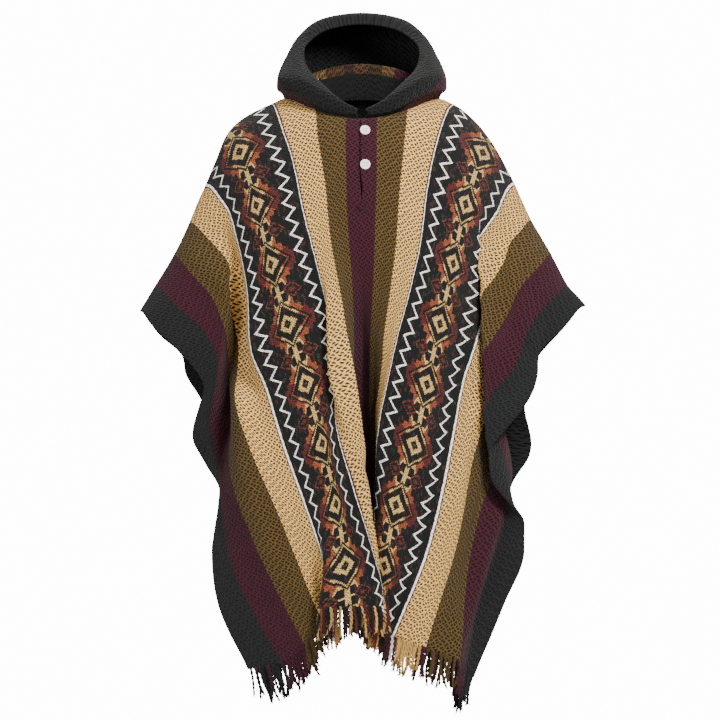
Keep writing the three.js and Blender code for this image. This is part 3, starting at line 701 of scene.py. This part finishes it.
# The wearer's left edge of the neck slit laps over the right one. Below the buttons they part.
LAP_FADE = 25
LAP_REACH = 14
PARTING_HEIGHT = -155
PARTING_REACH = 22
slit_heights = front_grid[:, slit_column, 2]
above_slit_end = np.clip((SLIT_LENGTH - slit_heights[0] + slit_heights) / LAP_FADE, 0, 1)
below_buttons = np.exp(-((slit_heights - PARTING_HEIGHT) / PARTING_REACH) ** 2)
for i, width in enumerate(cloth_widths):
    lap = math.exp(-(width / LAP_REACH) ** 2)
    if width > 0:
        front_grid[:, i, 1] -= 2.6 * lap * above_slit_end
        front_grid[:, i, 0] += (2.2 * below_buttons - 1.2 * (1 - below_buttons)) * lap * above_slit_end
    else:
        front_grid[:, i, 1] += 2.4 * lap * above_slit_end
        front_grid[:, i, 0] -= 1.6 * below_buttons * lap * above_slit_end


def shoulder_square(grid, outward):
    square = square_to(grid) * outward
    on_ridge = np.abs(grid[0, :, 1]) < 0.3
    square[0, on_ridge, 1] = 0
    square[0] /= np.linalg.norm(square[0], axis=1, keepdims=True)
    return square


front_square = shoulder_square(front_grid, -1)
back_square = shoulder_square(back_grid, 1)
slit_open = np.ones((len(front_ways) - 1, len(cloth_widths) - 1), bool)
slit_rows = int(np.argmax(slit_heights < slit_heights[0] - SLIT_LENGTH))
slit_open[:slit_rows, slit_column] = False


def flat_places(down):
    return np.stack([np.broadcast_to(cloth_widths, down.shape), down], axis=-1)


ROLLED = (0, 1, 1, 1)
front_flat, back_flat = flat_places(front_down), flat_places(back_down)
front_shell = shell(front_grid, front_square, front_flat, CLOTH_THICKNESS, slit_open, ROLLED)
back_shell = shell(back_grid, back_square, back_flat, CLOTH_THICKNESS, None, ROLLED)
poncho_cloth = soft_piece("poncho_cloth", [front_shell, back_shell], striped_knit)
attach(poncho_cloth, "root")
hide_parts("front_cloth", "back_cloth")


# ---- 2. the fringes --------------------------------------------------------------------------
# The ends of the cloth's own yarns, left long past each hem and twisted in pairs into short cords.
# They hang from the last row of stitches and take the colours of the stripes above them.
FRINGE_LENGTH = 56
CORD_SPACING = 4.7
PLY_RADIUS = 1.6
TWIST_LENGTH = 17
PLY_SIDES = 5
CORD_STEPS = 11
WHITE_CORDS = -149
BAND_YARNS = [YELLOW, INK, RUST, INK, BURGUNDY, TAN, INK, BROWN, TAN, RUST]


# A tube round a line of points, with its flat distance from the middle and its cord as its UV map.
def tube(points, radii, sides, flat):
    points = np.array(points)
    along = np.gradient(points, axis=0)
    along /= np.linalg.norm(along, axis=1, keepdims=True)
    reference = np.array([0.37, 0.91, 0.19])
    first = np.cross(along, reference)
    first /= np.linalg.norm(first, axis=1, keepdims=True)
    second = np.cross(along, first)
    turns = np.arange(sides) * 2 * math.pi / sides
    rings = (points[:, None, :] + np.array(radii)[:, None, None]
             * (np.cos(turns)[None, :, None] * first[:, None, :]
                + np.sin(turns)[None, :, None] * second[:, None, :]))
    faces = []
    for j in range(len(points) - 1):
        for k in range(sides):
            n = (k + 1) % sides
            faces.append((j * sides + k, j * sides + n, (j + 1) * sides + n, (j + 1) * sides + k))
    faces.append(tuple(range(sides)))
    faces.append(tuple(reversed(range((len(points) - 1) * sides, len(points) * sides))))
    return rings.reshape(-1, 3), faces, np.broadcast_to(flat, (len(points) * sides, 2))


def fringe_cords(grid, square, seed):
    hem = grid[-1]
    hang = grid[-1] - grid[-6]
    hang = hang / np.linalg.norm(hang, axis=1, keepdims=True) * 0.5 + np.array([0, 0, -0.5])
    hang /= np.linalg.norm(hang, axis=1, keepdims=True)
    chance = random.Random(seed)
    parts = []
    count = int((2 * HALF_WIDTH - 8) / CORD_SPACING)
    for k in range(count):
        width = -HALF_WIDTH + 5 + k * CORD_SPACING + chance.uniform(-1.4, 1.4)
        root, line, face = (at_width(width, row) for row in (hem, hang, square[-1]))
        aside = np.cross(line, face)
        length = FRINGE_LENGTH * chance.uniform(0.72, 1.0)
        gather = (1.5 - k % 4) * CORD_SPACING * 0.5 + math.sin(k // 4 * 2.4) * 4
        swing = aside * (gather + chance.uniform(-3, 3)) + face * chance.uniform(-4, 4)
        curl = aside * chance.uniform(-4, 4)
        phase = chance.uniform(0, 6.3)
        size = chance.uniform(0.85, 1.2)
        for ply in range(2):
            points = []
            radii = []
            for step in range(CORD_STEPS + 1):
                share = step / CORD_STEPS
                centre = root - line * 1.5 + line * (length * share)
                centre = centre + swing * share ** 2.2 + curl * math.sin(math.pi * share)
                turn = phase + ply * math.pi + 2 * math.pi * length * share / TWIST_LENGTH
                spread = PLY_RADIUS * size * (1.1 - 0.35 * share)
                points.append(centre + spread * (math.cos(turn) * aside + math.sin(turn) * face))
                tip = 0.45 if step == CORD_STEPS else 1
                radii.append(PLY_RADIUS * size * (1.12 - 0.38 * share) * tip)
            parts.append(tube(points, radii, PLY_SIDES, (width, k)))
        for strand in range(3):
            start = root + line * (length * 0.86) + swing * 0.8 + curl * 0.3
            lean = aside * chance.uniform(-5, 5) + face * chance.uniform(-3, 3)
            reach = length * chance.uniform(0.1, 0.17)
            points = [start, start + line * reach * 0.5 + lean * 0.35, start + line * reach + lean]
            parts.append(tube(points, [0.7, 0.55, 0.25], 4, (width, k)))
    return parts


def fringe_material():
    material, wire = new_material("fringe_yarn")
    flat = wire.node("ShaderNodeUVMap", {"uv_map": "cloth"})
    place = wire.node("ShaderNodeSeparateXYZ", {}, {0: flat})
    flat_across = place * 1000
    cord = place.output(1) * 1000
    across = abs(flat_across)
    stripe = (across / STRIPES[-1]["to"]).banded(stripe_stops(STRIPES, STRIPES[-1]["to"]))
    chance = wire.node("ShaderNodeTexWhiteNoise", {"noise_dimensions": "1D"}, {"W": cord.stepped(1)})
    mixed = chance.banded([(k / len(BAND_YARNS), colour) for k, colour in enumerate(BAND_YARNS)])
    in_band = (across > BAND_MIDDLE - BAND_HALF + 4) * (across < BAND_MIDDLE + BAND_HALF)
    colour = wire.mix(in_band, stripe, mixed)
    odd = (chance > 0.86) * (across > 70)
    colour = wire.mix(odd, colour, BURGUNDY)
    colour = wire.mix(abs(flat_across - WHITE_CORDS) < 3, colour, WHITE)
    solid = wire.node("ShaderNodeTexCoord", output=3)
    fuzz = wire.node("ShaderNodeTexNoise", {}, {"Vector": solid, "Scale": 700, "Detail": 3})
    shade = 0.46 + fuzz * 0.6 + (chance - 0.5) * 0.3
    bump = wire.node("ShaderNodeBump", {}, {"Strength": 0.6, "Distance": 0.6 * MM, "Height": fuzz})
    wire.shader({"Base Color": colour.shaded(shade), "Normal": bump, "Roughness": 0.9,
                 "Specular IOR Level": 0.2, "Sheen Weight": 0.12})
    return material


fringe_yarn = fringe_material()
front_fringe = soft_piece("front_fringe", fringe_cords(front_grid, front_square, 11), fringe_yarn)
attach(front_fringe, "root")
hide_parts("fringe_front")
back_fringe = soft_piece("back_fringe", fringe_cords(back_grid, back_square, 23), fringe_yarn)
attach(back_fringe, "root")
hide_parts("fringe_back")


# ---- 3. the hood -------------------------------------------------------------------------------
# A length of the same knit, folded up its middle at the back and sewn round the neckline. It stands
# open: the charcoal edge rolls in at the rim, and the rest hangs in a pouch behind the neck.
HOOD_SECTIONS = [
    dict(seam=4, run=[(-8, -96, -24), (-10, -99, -23), (-10, -100, -21), (-9, -100, -18),
                      (-7, -99, -16), (-5, -97, -15)]),
    dict(seam=42, run=[(-49, -93, -17), (-52, -99, -15), (-51, -102, -9), (-47, -103, -2),
                       (-41, -101, 2), (-35, -97, 0)]),
    dict(seam=80, run=[(-98, -66, 6), (-106, -76, 14), (-105, -80, 25), (-95, -82, 35),
                       (-80, -79, 35), (-66, -74, 28)]),
    dict(seam=100, run=[(-134, -26, 16), (-141, -34, 24), (-140, -36, 41), (-126, -34, 57),
                        (-107, -38, 65), (-91, -42, 55)]),
    dict(seam=112, run=[(-136, 14, 16), (-145, 18, 27), (-142, 22, 52), (-127, 18, 80),
                        (-113, 6, 93), (-99, -8, 86)]),
    dict(seam=126, run=[(-108, 46, 36), (-122, 66, 10), (-136, 82, 30), (-119, 66, 94),
                        (-104, 40, 118), (-90, 22, 106)]),
    dict(seam=156, run=[(-66, 62, 58), (-80, 108, -38), (-104, 130, -10), (-90, 112, 96),
                        (-69, 68, 146), (-57, 44, 128)]),
    dict(seam=216, run=[(0, 68, 68), (0, 128, -84), (0, 156, -46), (0, 136, 96),
                        (0, 78, 157), (0, 54, 137)]),
]
HOOD_SEAM_ALLOWANCE = 1.6
HOOD_ROWS = 86
HOOD_COLUMNS = 150
CHARCOAL_ROPE = yarn(16, 17, 17, 1.1)
HOOD_STRIPES = [
    dict(to=74, colour=CHARCOAL_ROPE),
    dict(to=156, colour=BURGUNDY),
    dict(to=210, colour=OLIVE),
    dict(to=264, colour=TAN),
    dict(to=267, colour=DARK_RED),
    dict(to=271, colour=WHITE),
    dict(to=560, colour=CHARCOAL_ROPE),
]
# The seam strip's own colours, darkened with painted shade for the shadow it lies in.
SHADED_NECK_STRIP = [
    dict(to=180, colour=yarn(78, 46, 26)),
    dict(to=206, colour=yarn(44, 34, 16)),
    dict(to=218, colour=yarn(50, 24, 20)),
    dict(to=262, colour=yarn(100, 76, 40)),
    dict(to=292, colour=yarn(74, 46, 24)),
    dict(to=306, colour=yarn(46, 26, 20)),
    dict(to=330, colour=yarn(66, 40, 22)),
    dict(to=352, colour=yarn(48, 34, 15)),
    dict(to=372, colour=yarn(88, 62, 32)),
    dict(to=640, colour=yarn(58, 18, 32)),
]


def hood_grid(rows, columns):
    last = len(HOOD_SECTIONS) - 1
    stations = list(range(2 * last + 1))
    runs = [section["run"] for section in HOOD_SECTIONS]
    runs += [[(-x, y, z) for x, y, z in run] for run in reversed(runs[:-1])]
    seams = line_through(list(range(last + 1)), [section["seam"] for section in HOOD_SECTIONS])
    at = np.linspace(0, 2 * last, columns)
    rings = []
    for n in range(len(runs[0])):
        axes = [line_through(stations, [run[n][k] for run in runs])(at) for k in range(3)]
        rings.append(np.stack(axes, axis=-1))
    side = np.where(at <= last, -1, 1)
    round_neck = seams(np.minimum(at, 2 * last - at))
    front_line = cloth_grid(FRONT_FALL, -1, np.array([0.0]), cloth_widths)[0]
    back_line = cloth_grid(back_fall(), 1, np.array([0.0]), cloth_widths)[0]
    sewn = np.empty((columns, 3))
    for i in range(columns):
        behind = round_neck[i] > NECK_CORNER
        width = side[i] * (2 * NECK_CORNER - round_neck[i] if behind else round_neck[i])
        sewn[i] = at_width(width, back_line if behind else front_line)
    away = rings[0] - sewn
    away /= np.linalg.norm(away, axis=1, keepdims=True)
    rings.insert(0, sewn + away * HOOD_SEAM_ALLOWANCE)
    rings = np.array(rings)
    rim = len(rings) - 1
    down = np.concatenate([[0, 0.05, 0.12], np.linspace(0.25, rim - 0.08, rows), [rim - 0.02, rim]])
    grid = np.empty((len(down), columns, 3))
    for i in range(columns):
        for k in range(3):
            grid[:, i, k] = line_through(list(range(len(rings))), list(rings[:, i, k]))(down)
    return grid


hood_points = hood_grid(HOOD_ROWS, HOOD_COLUMNS)
steps = np.linalg.norm(np.diff(hood_points, axis=0), axis=2)
from_rim = np.vstack([np.cumsum(steps[::-1], axis=0)[::-1], np.zeros(hood_points.shape[1])])
rim_steps = np.linalg.norm(np.diff(hood_points[-1], axis=0), axis=1)
round_rim = np.concatenate([[0], np.cumsum(rim_steps)])

# The charcoal is widest behind the head and narrowest at the lower corners, and the whole hood sits
# a little askew: more burgundy shows over the left shoulder.
ASKEW = 9
WIDER_BEHIND = 84
NARROWER_AT_CORNERS = 16
turned = np.linspace(-1, 1, hood_points.shape[1])
behind_head = WIDER_BEHIND * np.exp(-(turned / 0.3) ** 4) * np.clip(from_rim / 90, 0, 1)
at_corners = NARROWER_AT_CORNERS * np.exp(-((np.abs(turned) - 0.5) / 0.16) ** 2)
hood_across = from_rim + ASKEW * turned - behind_head + at_corners
hood_flat = np.stack([hood_across, np.broadcast_to(round_rim, from_rim.shape)], axis=-1)
hood_square = square_to(hood_points)
hood_knit = knit_material("hood_knit", HOOD_STRIPES, HOOD_STRIPES[-1]["to"], relief=0.8)
neck_strip_shaded_knit = knit_material("neck_strip_shaded_knit", SHADED_NECK_STRIP, SHADED_NECK_STRIP[-1]["to"], along=True)
hood_shell = shell(hood_points, hood_square, hood_flat, CLOTH_THICKNESS)
worn_hood = soft_piece("worn_hood", [hood_shell], hood_knit)
worn_hood.data.materials.append(neck_strip_shaded_knit)
poncho_cloth.data.materials.append(hood_knit)

# Inside the back of the neck the cloth takes the hood's dark knit as painted shade, and a strip in
# other yarns, darkened with painted shade, covers the seam above it.
NECK_SHADE_REACH = 150
STRIP_HALF = 100
STRIP_FRONT = 30
STRIP_BACK = 74
STRIP_TOP = 74
STRIP_BOTTOM = 52
STRIP_DIP = 0.13
# Painted shade: the inner faces round the back of the neck take the dark hood knit.
for polygon in poncho_cloth.data.polygons:
    centre = polygon.center / MM
    near_neck = centre.z > -NECK_SHADE_REACH and abs(centre.x) < NECK_SHADE_REACH
    if polygon.normal.y < 0 < centre.y and near_neck:
        polygon.material_index = 1
for polygon in worn_hood.data.polygons:
    centre = polygon.center / MM
    side = abs(centre.x)
    at_seam = STRIP_BOTTOM - STRIP_DIP * side < centre.z < STRIP_TOP
    if at_seam and STRIP_FRONT < centre.y < STRIP_BACK and side < STRIP_HALF:
        polygon.material_index = 1
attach(worn_hood, "root")
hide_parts("hood")


# ---- 4. the neck slit --------------------------------------------------------------------------
# A strip of burgundy knit behind the slit carries the buttons' thread. The slit ends in a small tack
# of doubled yarn that stops it from tearing further.
STAND_WIDTH = 26
STAND_THICKNESS = 2.0
STAND_BEHIND = 2.5
STAND_INSET = 3
stand_low, stand_high = (np.array(corner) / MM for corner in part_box("button_stand"))
stand_rows = 30
stand_columns = 10
stand_points = np.empty((stand_rows, stand_columns, 3))
for j in range(stand_rows):
    fall = (stand_high[2] - stand_low[2] - 2 * STAND_INSET) * j / (stand_rows - 1)
    height = stand_high[2] - STAND_INSET - fall
    row = int(np.argmin(np.abs(front_grid[:, slit_column, 2] - height)))
    for i in range(stand_columns):
        width = (i / (stand_columns - 1) - 0.6) * STAND_WIDTH
        place = at_width(width, front_grid[row])
        stand_points[j, i] = (place[0], place[1] + CLOTH_THICKNESS + STAND_BEHIND, height)
stand_across = np.linspace(0, STAND_WIDTH, stand_columns)
stand_flat = np.stack(np.meshgrid(stand_across, -stand_points[:, 0, 2]), axis=-1)
stand_shell = shell(stand_points, square_to(stand_points), stand_flat, STAND_THICKNESS)
slit_stand = soft_piece("slit_stand", [stand_shell], striped_knit)
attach(slit_stand, "root")
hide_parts("button_stand")

TACK_RADIUS = 6.5
TACK_YARN = 0.9
TACK_STEPS = 12
TACK_STRIPE = 513
tack_end = front_grid[slit_rows + 1, slit_column]
tack_line = []
for step in range(TACK_STEPS + 1):
    turn = math.pi * step / TACK_STEPS
    across, up = -TACK_RADIUS * math.cos(turn) - 1, 2.5 - TACK_RADIUS * math.sin(turn)
    tack_line.append(tack_end + np.array([across, -2.4, up]))
tack_tube = tube(tack_line, [TACK_YARN] * len(tack_line), 6, (TACK_STRIPE, 0))
tack = soft_piece("slit_tack", [tack_tube], fringe_yarn)
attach(tack, "root")


# ---- 5. the buttons ------------------------------------------------------------------------------
# Two flat, round, ivory buttons with a raised rim and four holes, each sewn through the cloth with
# two bars of thread.
BUTTON_RADIUS = 8.8
BUTTON_THICKNESS = 3.2
BUTTON_SIDES = 48
HOLE_RADIUS = 1.15
HOLE_STEP = 2.4
THREAD_RADIUS = 0.42
BUTTON_PROFILE = [(0.0, 0.75), (0.52, 0.75), (0.66, 0.80), (0.76, 0.95), (0.86, 1.0), (0.94, 0.93),
                  (0.99, 0.72), (1.0, 0.45), (0.97, 0.18), (0.90, 0.02), (0.60, 0.0), (0.0, 0.0)]


def button_material():
    material, wire = new_material("ivory_button")
    place = wire.node("ShaderNodeTexCoord", output=3)
    grain = wire.node("ShaderNodeTexNoise", {}, {"Vector": place, "Scale": 260, "Detail": 3})
    bump = wire.node("ShaderNodeBump", {}, {"Strength": 0.15, "Distance": 0.2 * MM, "Height": grain})
    wire.shader({"Base Color": wire.mix(grain, yarn(250, 244, 232), yarn(255, 254, 250)),
                 "Normal": bump, "Roughness": 0.38})
    return material


ivory = button_material()


def sewn_button(name, node):
    low, high = (np.array(corner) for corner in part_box(node))
    centre = (low + high) / 2
    row = int(np.argmin(np.abs(front_grid[:, slit_column, 2] * MM - centre[2])))
    column = int(np.argmin(np.abs(cloth_widths - 6)))
    outward = Vector(front_square[row, column])
    shaped = bmesh.new()
    rings = []
    for radius, height in BUTTON_PROFILE:
        ring = []
        for k in range(BUTTON_SIDES):
            turn = 2 * math.pi * k / BUTTON_SIDES
            ring.append(shaped.verts.new((BUTTON_RADIUS * radius * math.cos(turn),
                                          BUTTON_RADIUS * radius * math.sin(turn),
                                          BUTTON_THICKNESS * (height - 0.5))))
        rings.append(ring)
    for upper, lower in zip(rings, rings[1:]):
        for k in range(BUTTON_SIDES):
            n = (k + 1) % BUTTON_SIDES
            shaped.faces.new((upper[k], upper[n], lower[n], lower[k]))
    bmesh.ops.remove_doubles(shaped, verts=shaped.verts, dist=0.01)
    bmesh.ops.recalc_face_normals(shaped, faces=shaped.faces)
    mesh = bpy.data.meshes.new(name)
    shaped.to_mesh(mesh)
    shaped.free()
    piece = bpy.data.objects.new(name, mesh)
    bpy.context.scene.collection.objects.link(piece)
    drills = bmesh.new()
    for x in (-1, 1):
        for y in (-1, 1):
            drill = bmesh.ops.create_cone(drills, cap_ends=True, segments=16, radius1=HOLE_RADIUS,
                                          radius2=HOLE_RADIUS, depth=3 * BUTTON_THICKNESS)
            bmesh.ops.translate(drills, verts=drill["verts"], vec=(x * HOLE_STEP, y * HOLE_STEP, 0))
    drill_mesh = bpy.data.meshes.new("drills")
    drills.to_mesh(drill_mesh)
    drills.free()
    drill_object = bpy.data.objects.new("drills", drill_mesh)
    bpy.context.scene.collection.objects.link(drill_object)
    cut = piece.modifiers.new("holes", "BOOLEAN")
    cut.operation = "DIFFERENCE"
    cut.solver = "EXACT"
    cut.object = drill_object
    depsgraph = bpy.context.evaluated_depsgraph_get()
    drilled = bpy.data.meshes.new_from_object(piece.evaluated_get(depsgraph))
    piece.modifiers.clear()
    bpy.data.objects.remove(drill_object)
    turn = Vector((0, 0, 1)).rotation_difference(outward).to_matrix().to_4x4()
    for vertex in drilled.vertices:
        vertex.co = turn @ vertex.co * MM + Vector(centre)
    piece.data = drilled
    for polygon in drilled.polygons:
        polygon.use_smooth = len(polygon.vertices) <= 4
    drilled.materials.clear()
    drilled.materials.append(ivory)
    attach(piece, "root")
    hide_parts(node)
    threads = []
    for y in (-HOLE_STEP, HOLE_STEP):
        bar = []
        for step in range(9):
            share = step / 8 * 2 - 1
            lift = BUTTON_THICKNESS / 4 + 0.5 - 2.2 * abs(share) ** 6
            place = turn @ Vector((share * HOLE_STEP, y, lift))
            bar.append(np.array(place) + centre / MM)
        threads.append(tube(bar, [THREAD_RADIUS] * len(bar), 6, (0, 0)))
    sewing = soft_piece(name + "_thread", threads, ivory)
    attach(sewing, "root")


sewn_button("upper_button", "button_upper")
sewn_button("lower_button", "button_lower")


# ---- 6. floor, light and camera ------------------------------------------------------------------
# A plain pale floor well below the fringes, a white room, and soft studio light from the front.
box_low, box_high = (Vector(corner) for corner in cad_box)
middle = (box_low + box_high) / 2
FLOOR_DROP = 0.45
FLOOR_HALF = 1.5
ROOM_LIGHT = 0.34
ROOM_WHITE = 14

floor_mesh = bpy.data.meshes.new("floor")
floor_corners = [(-1, -1), (1, -1), (1, 1), (-1, 1)]
floor_mesh.from_pydata([(x * FLOOR_HALF, y * FLOOR_HALF, box_low.z - FLOOR_DROP)
                        for x, y in floor_corners], [], [(0, 1, 2, 3)])
floor = bpy.data.objects.new("floor", floor_mesh)
bpy.context.scene.collection.objects.link(floor)
floor_paint, floor_wire = new_material("pale_floor")
floor_wire.shader({"Base Color": yarn(236, 235, 232), "Roughness": 0.8})
floor_mesh.materials.append(floor_paint)

room = bpy.data.worlds.new("white_room")
room.use_nodes = True
room.node_tree.nodes.clear()
sky = Wire(room.node_tree)
seen = sky.node("ShaderNodeLightPath")
glow = sky.node("ShaderNodeBackground", {},
                {"Color": (1, 1, 1, 1), "Strength": ROOM_LIGHT + seen * ROOM_WHITE})
sky.node("ShaderNodeOutputWorld", {}, {0: glow})
bpy.context.scene.world = room


def soft_light(name, place, width, height, power):
    lamp = bpy.data.lights.new(name, "AREA")
    lamp.shape = "RECTANGLE"
    lamp.size = width
    lamp.size_y = height
    lamp.energy = power
    lamp.color = (1, 0.985, 0.965)
    holder = bpy.data.objects.new(name, lamp)
    holder.location = Vector(place)
    holder.rotation_euler = (middle - holder.location).to_track_quat("-Z", "Y").to_euler()
    bpy.context.scene.collection.objects.link(holder)


soft_light("key_light", (1.5, -2.6, 1.9), 1.1, 1.1, 235)
soft_light("fill_light", (-2.4, -2.2, 0.5), 1.5, 1.5, 60)
soft_light("top_light", (0.2, 1.1, 1.9), 1.4, 1.4, 25)

SENSOR = 36
CAMERA_DISTANCE = 14
VIEW_WIDTH = 1.224
camera_data = bpy.data.cameras.new("camera")
camera_data.lens = SENSOR * (CAMERA_DISTANCE + box_low.y) / VIEW_WIDTH
camera_data.sensor_width = SENSOR
camera = bpy.data.objects.new("camera", camera_data)
camera.location = (middle.x - 0.005, -CAMERA_DISTANCE, middle.z + 0.012)
camera.rotation_euler = (math.pi / 2, 0, 0)
bpy.context.scene.collection.objects.link(camera)
bpy.context.scene.camera = camera
